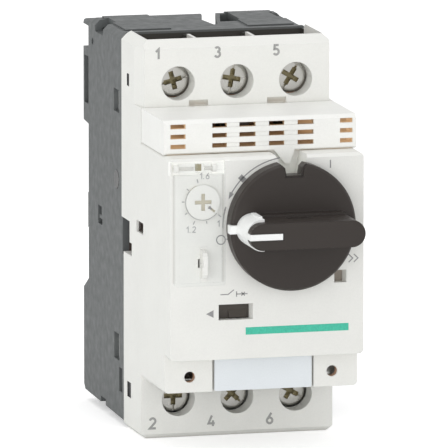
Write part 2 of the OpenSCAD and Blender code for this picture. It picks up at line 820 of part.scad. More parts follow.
// Low head with a rounded front edge
module screw_head(x, z)
    translate([x, y_at(head_front - 2), z])
        rotate([90, 0, 0])
            rotate_extrude()
                polygon([[0, 0], [head_r, 0], [head_r, 1.6], [head_r - 0.2, 1.85], [head_r - 0.6, 2],
                    [0, 2]]);

// Slot across a screw head, with a cross and a deeper centre in its middle
module drive_recess() {
    translate([-head_r - 1, -1, -0.25])
        cube([2 * head_r + 2, 1.7, 0.5]);
    for (turn = [0, 90])
        rotate([0, turn, 0]) {
            translate([-2.1, -1, -0.55])
                cube([4.2, 2.2, 1.1]);
            translate([-1.3, -1, -0.4])
                cube([2.6, 2.8, 0.8]);
        }
}

module terminal_screw(n) {
    x = terminal_x(n);
    z = terminal_z(n);
    color(zinc)
        difference() {
            union() {
                screw_head(x, z);
                rod(x, z, thread_r, [shank_end, head_front - 1]);
            }
            translate([x, y_at(head_front), z])
                rotate([0, screw_turns[n - 1], 0])
                    drive_recess();
        }
}

module clamp_plate(n) {
    x = terminal_x(n);
    z = terminal_z(n);
    front = head_front - 2.05;
    color(zinc)
        difference() {
            block([x - 4.4, x + 4.4], [front - clamp_t, front], [z - 4, z + 4]);
            rod(x, z, thread_r + play, [front - 3, front + 1]);
        }
}

// Terminal bar of the line side: clamp plate, bend, and arm to the fixed contact
module line_terminal(n) {
    x = pole_x(n);
    color(copper)
        difference() {
            union() {
                block([x - 4.6, x + 4.6], rail_bar, [25.4, line_z + 5]);
                block([x - 3, x + 3], [22, rail_bar[1]], [25.4, 27.2]);
                block([x - 3, x + 3], [22, 23.6], [11.5, 27.2]);
                rod(x, 13.6, 1.8, [23, 24.9]);
            }
            rod(x, line_z, thread_r + play, [rail_bar[0] - 1, rail_bar[1] + 1]);
        }
}

module load_terminal(n) {
    x = pole_x(n);
    color(copper)
        difference() {
            union() {
                block([x - 4.6, x + 4.6], rail_bar, [-load_z - 5, -29.6]);
                block([x - 3, x + 3], [rail_bar[0], 44], [-31.2, -29.6]);
            }
            rod(x, -load_z, thread_r + play, [rail_bar[0] - 1, rail_bar[1] + 1]);
        }
}

module arc_chute(n) {
    x = pole_x(n);
    plates = 8;
    color([0.62, 0.5, 0.42]) {
        for (side = [-1, 1])
            block([x + side * 5 - 0.4, x + side * 5 + 0.4], [9.5, 21], [12, 25]);
        for (i = [0:plates - 1])
            block([x - 4.9, x + 4.9], [10, 20.5], [12.6 + i * 1.6, 13.4 + i * 1.6]);
    }
}

coil_deep = 16;

// Coil of the magnetic release with its bobbin and the lower fixed contact
module magnet_coil(n) {
    x = pole_x(n);
    color(copper)
        difference() {
            union() {
                post(x, coil_deep, [-25, -10], 4.2);
                for (i = [0:9])
                    translate([x, y_at(coil_deep), -24 + i * 1.45])
                        rotate_extrude($fn = 48)
                            translate([4.3, 0])
                                circle(0.65, $fn = 24);
                block([x - 3, x + 3], [coil_deep + 2, 23.6], [-11.4, -10]);
                block([x - 3, x + 3], [22, 23.6], [-11.4, -2.2]);
                rod(x, -4.2, 1.8, [23, 24.9]);
            }
            post(x, coil_deep, [-26, -9], 2.9);
        }
}

module plunger(n) {
    x = pole_x(n);
    color(zinc)
        union() {
            post(x, coil_deep, [-30, -16], 2.8);
            post(x, coil_deep, [-17, -9], 0.9);
            post(x, coil_deep, [-31, -29.5], 3.6);
        }
}

module bimetal(n) {
    x = pole_x(n);
    color([0.7, 0.66, 0.6])
        union() {
            block([x - 2.5, x + 2.5], [44.2, 45], [-31.2, -7.5]);
            cross_rod([x - 3, x + 3], 44.6, -30.4, 0.55);
            for (i = [0:6])
                block([x - 3.2, x + 3.2], [43.9, 45.3], [-27 + i * 2, -26.2 + i * 2]);
        }
}

// ---------------------------------------------------------------- contacts and mechanism

bridge_deep = [30.4, 31.8];
carrier_deep = [32.2, 35.6];

module contact_bridge(n) {
    x = pole_x(n);
    color(copper)
        union() {
            block([x - 2.6, x + 2.6], bridge_deep, [-6.2, 15.6]);
            for (z = [13.6, -4.2])
                rod(x, z, 1.8, [29.4, 31]);
        }
}

module contact_carrier()
    color([0.25, 0.25, 0.26])
        difference() {
            union() {
                block([-18.4, 18.4], carrier_deep, [1, 9]);
                for (n = [1:3])
                    for (side = [-1, 1])
                        block([pole_x(n) + side * 3.7 - 0.8, pole_x(n) + side * 3.7 + 0.8],
                            [29.2, carrier_deep[0] + 0.2], [1.6, 8.4]);
                rod(knob_x, 5, 1.6, [carrier_deep[0] + 1, 46]);
            }
            for (n = [1:3])
                rod(pole_x(n), 5, 1.75, [carrier_deep[0] - 1, carrier_deep[0] + 2.4]);
        }

module contact_springs()
    color(zinc)
        for (n = [1:3])
            translate([pole_x(n), y_at(31.85), 5])
                rotate([90, 0, 0])
                    coil(4, 0.7, 1.6, 0.25);

trip_deep = 50.2;
trip_z = -14;

module trip_bar()
    color([0.75, 0.2, 0.16])
        union() {
            cross_rod([-19.6, 19.6], trip_deep, trip_z, 1.3);
            for (n = [1:3])
                block([pole_x(n) - 1.8, pole_x(n) + 1.8], [trip_deep - 1, trip_deep + 0.4], [trip_z, -7.6]);
        }

frame_x = [-5.6, 16.6];

// Steel frame of the switching mechanism, with bearings for the shaft and the trip bar
module mechanism_frame()
    color(zinc)
        difference() {
            union() {
                block(frame_x, [67, 68.6], [-16.5, 15.5]);
                for (x = frame_x)
                    block([x - 0.6, x + 0.6], [48, 68.6], [-17, 15.5]);
            }
            rod(knob_x, knob_z, shaft_r + play, [66, 70]);
            cross_rod([-10, 20], trip_deep, trip_z, 1.35);
            cross_rod([-10, 20], 60, -7, 1.05);
        }

module latch_pin()
    color(zinc)
        cross_rod([frame_x[0] - 0.8, frame_x[1] + 0.8], 60, -7, 1);

module latch_lever()
    color([0.6, 0.6, 0.6])
        difference() {
            union() {
                cross_rod([9, 13], 60, -7, 2);
                block([9.6, 12.4], [59, 61], [-7, 3]);
                block([9.6, 12.4], [53.5, 60], [-8.2, -6.4]);
            }
            cross_rod([8, 14], 60, -7, 1.05);
        }

module toggle_spring()
    color(zinc)
        translate([-2.6, y_at(62.5), -8])
            coil(9, 1.5, 1.7, 0.35);

module base_rivets()
    color(zinc)
        for (side = [-1, 1])
            mirror_x(side)
                cross_rod([base_half - 1.5, base_half + 0.1], 30.9, 9.1, 2.05);

base_housing();
front_cover();
vent_cover();
marker_label();
setting_cover();
setting_cover_pins();
setting_dial();
rotary_knob();
lock_slider();
drive_shaft();
test_slider();
window_plate();
rail_latch();
latch_spring();
terminal_screw(1);  // terminal_screw_1
terminal_screw(2);  // terminal_screw_2
terminal_screw(3);  // terminal_screw_3
terminal_screw(4);  // terminal_screw_4
terminal_screw(5);  // terminal_screw_5
terminal_screw(6);  // terminal_screw_6
clamp_plate(1);  // clamp_plate_1
clamp_plate(2);  // clamp_plate_2
clamp_plate(3);  // clamp_plate_3
clamp_plate(4);  // clamp_plate_4
clamp_plate(5);  // clamp_plate_5
clamp_plate(6);  // clamp_plate_6
line_terminal(1);  // line_terminal_1
line_terminal(2);  // line_terminal_2
line_terminal(3);  // line_terminal_3
load_terminal(1);  // load_terminal_1
load_terminal(2);  // load_terminal_2
load_terminal(3);  // load_terminal_3
arc_chute(1);  // arc_chute_1
arc_chute(2);  // arc_chute_2
arc_chute(3);  // arc_chute_3
magnet_coil(1);  // magnet_coil_1
magnet_coil(2);  // magnet_coil_2
magnet_coil(3);  // magnet_coil_3
plunger(1);  // plunger_1
plunger(2);  // plunger_2
plunger(3);  // plunger_3
bimetal(1);  // bimetal_1
bimetal(2);  // bimetal_2
bimetal(3);  // bimetal_3
contact_bridge(1);  // contact_bridge_1
contact_bridge(2);  // contact_bridge_2
contact_bridge(3);  // contact_bridge_3
contact_carrier();
contact_springs();
trip_bar();
mechanism_frame();
latch_lever();
latch_pin();
toggle_spring();
base_rivets();
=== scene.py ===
"""Looks of the motor protection breaker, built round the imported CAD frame. Metres, the frame's own axes."""

import json
import math

import bmesh
import bpy
from mathutils import Matrix, Vector
from mathutils.bvhtree import BVHTree


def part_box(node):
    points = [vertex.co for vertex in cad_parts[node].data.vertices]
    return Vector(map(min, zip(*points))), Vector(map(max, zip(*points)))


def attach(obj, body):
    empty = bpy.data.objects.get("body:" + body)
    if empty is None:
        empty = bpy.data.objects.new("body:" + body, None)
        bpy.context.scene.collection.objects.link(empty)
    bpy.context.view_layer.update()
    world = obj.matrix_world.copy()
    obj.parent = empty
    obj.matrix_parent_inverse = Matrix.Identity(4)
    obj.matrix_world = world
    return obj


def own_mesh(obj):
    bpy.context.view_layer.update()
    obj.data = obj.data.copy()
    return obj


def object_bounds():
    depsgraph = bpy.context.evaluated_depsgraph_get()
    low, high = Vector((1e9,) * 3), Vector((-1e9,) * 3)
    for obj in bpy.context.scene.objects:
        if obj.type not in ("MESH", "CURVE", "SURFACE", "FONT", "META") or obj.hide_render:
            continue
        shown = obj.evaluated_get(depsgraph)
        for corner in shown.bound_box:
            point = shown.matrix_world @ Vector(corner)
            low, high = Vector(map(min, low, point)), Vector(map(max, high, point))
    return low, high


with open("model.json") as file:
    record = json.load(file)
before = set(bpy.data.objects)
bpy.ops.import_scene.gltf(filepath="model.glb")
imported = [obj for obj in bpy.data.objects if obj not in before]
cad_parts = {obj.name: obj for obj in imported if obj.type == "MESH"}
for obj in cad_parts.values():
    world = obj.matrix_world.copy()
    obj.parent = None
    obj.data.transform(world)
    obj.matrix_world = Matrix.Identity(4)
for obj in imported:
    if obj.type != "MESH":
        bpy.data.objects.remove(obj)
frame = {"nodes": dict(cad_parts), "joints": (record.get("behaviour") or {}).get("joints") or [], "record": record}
CAD_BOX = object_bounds()
MM = 0.001

# ---------------------------------------------------------------- places, all read from the frame

NODES = frame["nodes"]
SLOT_OF = {part["node"]: part["material_slot"] for part in frame["record"]["subparts"]}
JOINTS = {joint["name"]: joint for joint in frame["joints"]}


def middle(node):
    """Centre of a CAD node's box."""
    low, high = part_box(node)
    return (low + high) / 2


# ---------------------------------------------------------------- materials

SOFT_EDGE = 0.15 * MM
BEVEL_SAMPLES = 4
SHADE_SAMPLES = 6
# The part of a noise texture's range that most of it lies in
NOISE_LOW = 0.3
NOISE_HIGH = 0.7
# Least and most that the mottling multiplies a colour by
MOTTLE = (0.985, 1.015)
# How far the dust and painted shade in corners and the edge wear and painted highlight reach, and how strong the
# grain is
DUST_AND_SHADE_REACH = 0.6 * MM
EDGE_WEAR_HIGHLIGHT_REACH = 0.18 * MM
GRAIN_STRENGTH = 0.6
# Agreement of the true and the rounded normal where the edge wear and painted highlight start and where they are
# full
EDGE_WEAR_HIGHLIGHT_START = 0.97
EDGE_WEAR_HIGHLIGHT_FULL = 0.80
# Openness of a place where the dust and painted shade start and where they are full
DUST_AND_SHADE_START = 0.75
DUST_AND_SHADE_FULL = 0.15
# Shares of the half width between which the painted glow, standing in for light through the walls, changes
GLOW_MIDDLE = 0.55
GLOW_SIDE = 0.80


def new_material(name):
    """Empty node material, its tree and its output node."""
    material = bpy.data.materials.new(name)
    material.use_nodes = True
    tree = material.node_tree
    tree.nodes.clear()
    return material, tree, tree.nodes.new("ShaderNodeOutputMaterial")


def noise(tree, per_mm, detail=2.0):
    """Noise texture in object space, with this many cells per millimetre."""
    place = tree.nodes.new("ShaderNodeTexCoord")
    scale = tree.nodes.new("ShaderNodeMapping")
    scale.inputs["Scale"].default_value = [per_mm / MM] * 3
    texture = tree.nodes.new("ShaderNodeTexNoise")
    texture.inputs["Scale"].default_value = 1.0
    texture.inputs["Detail"].default_value = detail
    tree.links.new(place.outputs["Object"], scale.inputs["Vector"])
    tree.links.new(scale.outputs["Vector"], texture.inputs["Vector"])
    return texture.outputs["Fac"]


def remapped(tree, value, start, stop, low=0.0, high=1.0):
    """Maps start to stop onto low to high, and holds the ends."""
    remap = tree.nodes.new("ShaderNodeMapRange")
    remap.inputs["From Min"].default_value = start
    remap.inputs["From Max"].default_value = stop
    remap.inputs["To Min"].default_value = low
    remap.inputs["To Max"].default_value = high
    tree.links.new(value, remap.inputs["Value"])
    return remap.outputs["Result"]


def spread(tree, value, low, high):
    """Maps the middle of a noise texture's range onto low to high."""
    return remapped(tree, value, NOISE_LOW, NOISE_HIGH, low, high)


def product(tree, first, second):
    """One value multiplied by another."""
    scale = tree.nodes.new("ShaderNodeMath")
    scale.operation = "MULTIPLY"
    tree.links.new(first, scale.inputs[0])
    tree.links.new(second, scale.inputs[1])
    return scale.outputs["Value"]


def rounded_normal(tree, radius):
    """Normal of the surface as if its edges were rounded."""
    rounded = tree.nodes.new("ShaderNodeBevel")
    rounded.samples = BEVEL_SAMPLES
    rounded.inputs["Radius"].default_value = radius
    return rounded.outputs["Normal"]


def tinted(tree, colour, value):
    """The colour multiplied by a value."""
    scale = tree.nodes.new("ShaderNodeVectorMath")
    scale.operation = "SCALE"
    scale.inputs[0].default_value = colour
    tree.links.new(value, scale.inputs["Scale"])
    return scale.outputs["Vector"]


def blended(tree, share, first, second):
    """Mix of two colours; each is a socket or three numbers."""
    mix = tree.nodes.new("ShaderNodeMix")
    mix.data_type = "RGBA"
    tree.links.new(share, mix.inputs["Factor"])
    for side, source in ((mix.inputs[6], first), (mix.inputs[7], second)):
        if isinstance(source, (tuple, list)):
            side.default_value = (*source, 1.0)
        else:
            tree.links.new(source, side)
    return mix.outputs[2]


def edge_wear_and_highlight(tree, radius):
    """Edge wear and painted highlight: 1 along sharp edges and 0 on open faces."""
    plain = tree.nodes.new("ShaderNodeNewGeometry")
    agree = tree.nodes.new("ShaderNodeVectorMath")
    agree.operation = "DOT_PRODUCT"
    tree.links.new(rounded_normal(tree, radius), agree.inputs[0])
    tree.links.new(plain.outputs["Normal"], agree.inputs[1])
    return remapped(tree, agree.outputs["Value"], EDGE_WEAR_HIGHLIGHT_START, EDGE_WEAR_HIGHLIGHT_FULL)


def dust_and_corner_shade(tree, reach):
    """Dust and painted shade: 1 deep in corners and 0 on open faces."""
    shade = tree.nodes.new("ShaderNodeAmbientOcclusion")
    shade.samples = SHADE_SAMPLES
    shade.inputs["Distance"].default_value = reach
    return remapped(tree, shade.outputs["AO"], DUST_AND_SHADE_START, DUST_AND_SHADE_FULL)


def inside(tree, low, high):
    """1 between two corners of a box in the frame's axes and 0 outside it."""
    place = tree.nodes.new("ShaderNodeTexCoord")
    offset = tree.nodes.new("ShaderNodeVectorMath")
    offset.operation = "SUBTRACT"
    offset.inputs[1].default_value = (low + high) / 2
    size = tree.nodes.new("ShaderNodeVectorMath")
    size.operation = "ABSOLUTE"
    room = tree.nodes.new("ShaderNodeVectorMath")
    room.operation = "SUBTRACT"
    room.inputs[0].default_value = (high - low) / 2
    axes = tree.nodes.new("ShaderNodeSeparateXYZ")
    tree.links.new(place.outputs["Object"], offset.inputs[0])
    tree.links.new(offset.outputs["Vector"], size.inputs[0])
    tree.links.new(size.outputs["Vector"], room.inputs[1])
    tree.links.new(room.outputs["Vector"], axes.inputs[0])
    least = axes.outputs["X"]
    for axis in ("Y", "Z"):
        smaller = tree.nodes.new("ShaderNodeMath")
        smaller.operation = "MINIMUM"
        tree.links.new(least, smaller.inputs[0])
        tree.links.new(axes.outputs[axis], smaller.inputs[1])
        least = smaller.outputs["Value"]
    above = tree.nodes.new("ShaderNodeMath")
    above.operation = "GREATER_THAN"
    above.inputs[1].default_value = 0.0
    tree.links.new(least, above.inputs[0])
    return above.outputs["Value"]


def sideways(tree, middle_value, side_value):
    """A value that changes from the middle plane of the body to its sides."""
    place = tree.nodes.new("ShaderNodeTexCoord")
    axes = tree.nodes.new("ShaderNodeSeparateXYZ")
    size = tree.nodes.new("ShaderNodeMath")
    size.operation = "ABSOLUTE"
    tree.links.new(place.outputs["Object"], axes.inputs[0])
    tree.links.new(axes.outputs["X"], size.inputs[0])
    half = CAD_BOX[1].x
    return remapped(tree, size.outputs["Value"], GLOW_MIDDLE * half, GLOW_SIDE * half, middle_value,
                    side_value)


def hollow_of(node, skin, face):
    """Box inside a node: this far in from its sides and this far behind its front."""
    low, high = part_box(node)
    return low + Vector((skin, face, skin)), high - Vector((skin, -MM, skin))


def side_window(rear, front, foot, top):
    """Boxes of a small window in both sides of the body; depths are counted from its back."""
    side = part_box("front_cover")[1].x
    back = CAD_BOX[1].y
    near = Vector((side - 0.5 * MM, back - front * MM, foot * MM))
    far = Vector((side - 0.04 * MM, back - rear * MM, top * MM))
    return (near, far), (Vector((-far.x, near.y, near.z)), Vector((-near.x, far.y, far.z)))


def surface(name, colour, edge, dust_and_shade, rough, metal=0.0, grain=(4.0, 0.006), painted_hollows=(), shine=0.5,
            soft_edge=SOFT_EDGE):
    """Moulded or machined surface: mottled colour, edges lightened by wear and a painted highlight, corners
    darkened by dust and painted shade, uneven gloss and fine grain.

    The grain is its cells per millimetre and its height in millimetres. A painted hollow is two corners, the
    colour painted between them, which is painted shade in most and painted light on the hinge floor, and a painted
    glow standing in for the light through the walls there, in the middle of the body and towards its sides.
    """
    material, tree, output = new_material(name)
    shader = tree.nodes.new("ShaderNodeBsdfPrincipled")
    cloudy = spread(tree, noise(tree, 0.12, 3.0), *MOTTLE)
    speckled = spread(tree, noise(tree, 3.0), *MOTTLE)
    paint = tinted(tree, colour, product(tree, cloudy, speckled))
    paint = blended(tree, dust_and_corner_shade(tree, DUST_AND_SHADE_REACH), paint, dust_and_shade)
    paint = blended(tree, edge_wear_and_highlight(tree, EDGE_WEAR_HIGHLIGHT_REACH), paint, edge)
    emitted = None
    # Each painted hollow overwrites the colour there, with painted shade in most and painted light on the hinge
    # floor, and adds a painted glow as emission
    for low, high, shade, glow in painted_hollows:
        within = inside(tree, low, high)
        paint = blended(tree, within, paint, shade)
        light = tinted(tree, shade, sideways(tree, *glow))
        emitted = blended(tree, within, emitted or (0.0, 0.0, 0.0), light)
    if emitted:
        tree.links.new(emitted, shader.inputs["Emission Color"])
        shader.inputs["Emission Strength"].default_value = 1.0
    tree.links.new(paint, shader.inputs["Base Color"])
    gloss = spread(tree, noise(tree, 0.5, 4.0), *rough)
    tree.links.new(gloss, shader.inputs["Roughness"])
    shader.inputs["Metallic"].default_value = metal
    shader.inputs["Specular IOR Level"].default_value = shine
    bump = tree.nodes.new("ShaderNodeBump")
    bump.inputs["Strength"].default_value = GRAIN_STRENGTH
    bump.inputs["Distance"].default_value = grain[1] * MM
    tree.links.new(rounded_normal(tree, soft_edge), bump.inputs["Normal"])
    tree.links.new(noise(tree, grain[0], 3.0), bump.inputs["Height"])
    tree.links.new(bump.outputs["Normal"], shader.inputs["Normal"])
    tree.links.new(shader.outputs["BSDF"], output.inputs["Surface"])
    return material


# Clear plastic: colour of the light let through, height of its unevenness, width of the glossy rim, and the
# share of gloss seen straight on and at the rim
CLEAR_TINT = (0.990, 0.995, 0.995)
CLEAR_GRAIN = 0.004 * MM
CLEAR_RIM = 0.18
CLEAR_GLOSS = (0.02, 0.30)


def clear_moulding(name):
    """Thin clear plastic: light passes straight through; the eye sees a faint tint and a gloss at the rim."""
    material, tree, output = new_material(name)
    through = tree.nodes.new("ShaderNodeBsdfTransparent")
    gloss = tree.nodes.new("ShaderNodeBsdfGlossy")
    seen = tree.nodes.new("ShaderNodeLightPath").outputs["Is Camera Ray"]
    tint = tinted(tree, CLEAR_TINT, spread(tree, noise(tree, 0.3, 2.0), 0.99, 1.0))
    tree.links.new(blended(tree, seen, (1.0, 1.0, 1.0), tint), through.inputs["Color"])
    tree.links.new(spread(tree, noise(tree, 0.8, 3.0), 0.05, 0.16), gloss.inputs["Roughness"])
    bump = tree.nodes.new("ShaderNodeBump")
    bump.inputs["Distance"].default_value = CLEAR_GRAIN
    tree.links.new(rounded_normal(tree, SOFT_EDGE), bump.inputs["Normal"])
    tree.links.new(noise(tree, 1.5), bump.inputs["Height"])
    tree.links.new(bump.outputs["Normal"], gloss.inputs["Normal"])
    rim = tree.nodes.new("ShaderNodeLayerWeight")
    rim.inputs["Blend"].default_value = CLEAR_RIM
    share = remapped(tree, rim.outputs["Facing"], 0.0, 1.0, *CLEAR_GLOSS)
    mix = tree.nodes.new("ShaderNodeMixShader")
    tree.links.new(product(tree, share, seen), mix.inputs["Fac"])
    tree.links.new(through.outputs["BSDF"], mix.inputs[1])
    tree.links.new(gloss.outputs["BSDF"], mix.inputs[2])
    tree.links.new(mix.outputs["Shader"], output.inputs["Surface"])
    return material


def ink(name, colour):
    """Pad print: slightly uneven cover, matt."""
    material, tree, output = new_material(name)
    shader = tree.nodes.new("ShaderNodeBsdfPrincipled")
    cover = spread(tree, noise(tree, 3.0, 4.0), 0.88, 1.12)
    tree.links.new(tinted(tree, colour, cover), shader.inputs["Base Color"])
    tree.links.new(spread(tree, noise(tree, 2.0), 0.45, 0.65), shader.inputs["Roughness"])
    tree.links.new(shader.outputs["BSDF"], output.inputs["Surface"])
    return material


def studio_white(name):
    """Pale floor that looks white to the eye wherever no shadow falls on it."""
    material, tree, output = new_material(name)
    shader = tree.nodes.new("ShaderNodeBsdfDiffuse")
    cloudy = spread(tree, noise(tree, 0.01), 0.99, 1.0)
    tree.links.new(tinted(tree, FLOOR_COLOUR, cloudy), shader.inputs["Color"])
    lift = tree.nodes.new("ShaderNodeEmission")
    power = tree.nodes.new("ShaderNodeMath")
    power.operation = "MULTIPLY"
    power.inputs[1].default_value = FLOOR_LIFT
    tree.links.new(tree.nodes.new("ShaderNodeLightPath").outputs["Is Camera Ray"], power.inputs[0])
    tree.links.new(power.outputs["Value"], lift.inputs["Strength"])
    both = tree.nodes.new("ShaderNodeAddShader")
    tree.links.new(shader.outputs["BSDF"], both.inputs[0])
    tree.links.new(lift.outputs["Emission"], both.inputs[1])
    tree.links.new(both.outputs["Shader"], output.inputs["Surface"])
    return material


# Body colours; edge colours are lighter for wear and a painted highlight, dust and dirt colours darker for dust
# and painted shade in corners
WHITE = (0.845, 0.845, 0.81)
WHITE_EDGE = (0.92, 0.92, 0.90)
WHITE_DUST_AND_SHADE = (0.68, 0.67, 0.63)
WHITE_GLOSS = (0.36, 0.52)
GREY = (0.112, 0.120, 0.121)
GREY_EDGE = (0.17, 0.18, 0.18)
GREY_DUST_AND_SHADE = (0.05, 0.05, 0.05)
STEEL = (0.62, 0.61, 0.58)
STEEL_EDGE = (0.80, 0.80, 0.78)
STEEL_DIRT_AND_SHADE = (0.12, 0.11, 0.10)
FLOOR_COLOUR = (0.93, 0.93, 0.93)
# Extra light the eye sees on the floor, so that it reads as white
FLOOR_LIFT = 0.4
# Each look: colour, edge colour for wear and painted highlight, corner colour for dust and painted shade, and
# roughness
MATERIALS = {
    "white_housing": surface("white_housing", WHITE, WHITE_EDGE, WHITE_DUST_AND_SHADE, WHITE_GLOSS),
    "grey_housing": surface("grey_housing", GREY, GREY_EDGE, GREY_DUST_AND_SHADE, (0.40, 0.60)),
    "label_plate": surface("label_plate", (0.80, 0.84, 0.87), (0.88, 0.91, 0.94), (0.5, 0.52, 0.55),
                           (0.40, 0.46), grain=(2.0, 0.002)),
    "clear_cover": clear_moulding("clear_cover"),
    "zinc_steel": surface("zinc_steel", STEEL, STEEL_EDGE, STEEL_DIRT_AND_SHADE, (0.22, 0.42), metal=1.0,
                          grain=(3.0, 0.010)),
    "knob_plastic": surface("knob_plastic", (0.036, 0.0285, 0.0245), (0.052, 0.044, 0.039),
                            (0.022, 0.018, 0.017), (0.36, 0.50), grain=(4.0, 0.002), shine=0.38,
                            soft_edge=0.4 * MM),
    "white_slider": surface("white_slider", (0.92, 0.93, 0.92), (0.94, 0.94, 0.94), (0.80, 0.79, 0.77),
                            (0.34, 0.44), grain=(2.0, 0.001)),
    "tester_plastic": surface("tester_plastic", (0.055, 0.045, 0.036), (0.09, 0.075, 0.06),
                              (0.02, 0.017, 0.014), (0.35, 0.5)),
    "spring_steel": surface("spring_steel", (0.58, 0.58, 0.58), (0.7, 0.7, 0.7), (0.2, 0.2, 0.2), (0.2, 0.35),
                            metal=1.0),
    "copper": surface("copper", (0.72, 0.40, 0.24), (0.85, 0.56, 0.38), (0.22, 0.12, 0.07), (0.22, 0.42),
                      metal=1.0),
    "chute_steel": surface("chute_steel", (0.42, 0.31, 0.22), (0.5, 0.4, 0.3), (0.16, 0.11, 0.08), (0.4, 0.6),
                           metal=0.2),
    "core_iron": surface("core_iron", (0.5, 0.5, 0.51), (0.65, 0.65, 0.65), (0.15, 0.15, 0.15), (0.3, 0.45),
                         metal=1.0),
    "bimetal": surface("bimetal", (0.62, 0.56, 0.48), (0.75, 0.7, 0.62), (0.2, 0.17, 0.14), (0.3, 0.5),
                       metal=1.0),
    "black_moulding": surface("black_moulding", (0.045, 0.045, 0.048), (0.10, 0.10, 0.10),
                              (0.02, 0.02, 0.02), (0.35, 0.5)),
    "red_moulding": surface("red_moulding", (0.50, 0.05, 0.035), (0.62, 0.12, 0.09), (0.2, 0.02, 0.015),
                            (0.35, 0.5)),
}

# Painted hollows: rooms behind openings, given as boxes with the colour painted in them, mostly painted shade, and
# a painted glow for the light through the walls
NO_GLOW = (0.0, 0.0)
# Painted shade and a painted glow in the room behind the vent slots
VENT_SKIN = 0.85 * MM
VENT_FACE = 0.35 * MM
VENT_TALL = 6.9 * MM
VENT_ROOM = hollow_of("vent_cover", VENT_SKIN, VENT_FACE)
VENT_ROOM[0].z = VENT_ROOM[1].z - VENT_TALL
VENT_HOLLOW = (*VENT_ROOM, (0.62, 0.46, 0.29), (0.06, 0.30))
LABEL_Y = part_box("marker_label")[0].y
# Two holes in the strip, left and right of the label, with painted shade and a painted glow in them
STRIP_HOLE_X = 16.4 * MM
STRIP_HOLE_HALF = 2 * MM
STRIP_HOLE_Z = (-31.5 * MM, -27 * MM)
STRIP_HOLE_DEPTH = (0.6 * MM, 14 * MM)
STRIP_HOLLOWS = [
    (Vector((x - STRIP_HOLE_HALF, LABEL_Y + STRIP_HOLE_DEPTH[0], STRIP_HOLE_Z[0])),
     Vector((x + STRIP_HOLE_HALF, LABEL_Y + STRIP_HOLE_DEPTH[1], STRIP_HOLE_Z[1])),
     (0.30, 0.19, 0.13), (0.45, 0.45))
    for x in (-STRIP_HOLE_X, STRIP_HOLE_X)
]
# Small side windows, with painted shade in them: rear, front, foot and top in millimetres
UPPER_WINDOW = (41.3, 43.6, 32.0, 35.0)
LOWER_WINDOW = (41.3, 45.0, -38.9, -35.2)
WINDOW_HOLLOWS = [
    (*box, (0.06, 0.06, 0.062), NO_GLOW)
    for box in (*side_window(*UPPER_WINDOW), *side_window(*LOWER_WINDOW))
]
# Painted shade, with a faint painted glow, in the room behind the base's front edge, and painted shade on the
# front edge itself at its top
BASE_WALL = 1.5 * MM
BASE_ROOM_DEPTH = 26 * MM
BASE_ROOM = hollow_of("base_housing", BASE_WALL, 0.0)
BASE_ROOM[1].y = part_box("base_housing")[0].y + BASE_ROOM_DEPTH
BASE_FRONT_SKIN = 0.5 * MM
BASE_FRONT_TALL = 14 * MM
BASE_FRONT_FROM_BACK = 34.45 * MM
BASE_FRONT = hollow_of("base_housing", BASE_FRONT_SKIN, 0.0)
BASE_FRONT[0].z = CAD_BOX[1].z - BASE_FRONT_TALL
BASE_FRONT[1].y = CAD_BOX[1].y - BASE_FRONT_FROM_BACK
BASE_HOLLOWS = [(*BASE_ROOM, (0.028, 0.021, 0.018), (0.9, 0.9)),
                (*BASE_FRONT, (0.042, 0.040, 0.035), NO_GLOW)]
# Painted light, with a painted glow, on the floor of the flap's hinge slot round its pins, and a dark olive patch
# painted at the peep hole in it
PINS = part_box("setting_cover_pins")
PEEP_LEFT = -16.4 * MM
PEEP_RIGHT = -14.9 * MM
HINGE_FLOOR = (Vector((PINS[0].x - 0.8 * MM, PINS[1].y + 0.55 * MM, PINS[0].z - 1.3 * MM)),
               Vector((PINS[1].x + 3.4 * MM, PINS[1].y + 2.0 * MM, PINS[1].z + 1.1 * MM)),
               (0.90, 0.90, 0.87), (0.12, 0.12))
PEEP_FLOOR = (Vector((PEEP_LEFT, HINGE_FLOOR[0].y, PINS[0].z - 0.4 * MM)),
              Vector((PEEP_RIGHT, HINGE_FLOOR[1].y, PINS[1].z + 0.4 * MM)), (0.36, 0.33, 0.22), NO_GLOW)
# Painted shade in the dial's recess
DIAL_HOLLOW = (*hollow_of("setting_dial", 0.3 * MM, 0.15 * MM), (0.60, 0.56, 0.45), NO_GLOW)
OWN_LOOK = {
    "vent_cover": surface("vent_plastic", (0.91, 0.91, 0.88), WHITE_EDGE, WHITE_DUST_AND_SHADE, WHITE_GLOSS,
                          painted_hollows=[VENT_HOLLOW]),
    "front_cover": surface("front_plastic", WHITE, WHITE_EDGE, WHITE_DUST_AND_SHADE, WHITE_GLOSS,
                           painted_hollows=[VENT_HOLLOW, *STRIP_HOLLOWS, *WINDOW_HOLLOWS, HINGE_FLOOR, PEEP_FLOOR]),
    "base_housing": surface("base_plastic", GREY, GREY_EDGE, GREY_DUST_AND_SHADE, (0.40, 0.60), painted_hollows=BASE_HOLLOWS),
    "base_rivets": surface("rivet_steel", (0.22, 0.22, 0.22), (0.5, 0.5, 0.5), STEEL_DIRT_AND_SHADE, (0.45, 0.6),
                           metal=1.0),
    "setting_dial": surface("dial_plastic", (0.90, 0.90, 0.87), WHITE_EDGE, WHITE, WHITE_GLOSS,
                            painted_hollows=[DIAL_HOLLOW]),
    "window_plate": surface("window_plastic", (0.30, 0.26, 0.22), (0.4, 0.36, 0.3), (0.12, 0.10, 0.08),
                            (0.35, 0.5)),
}
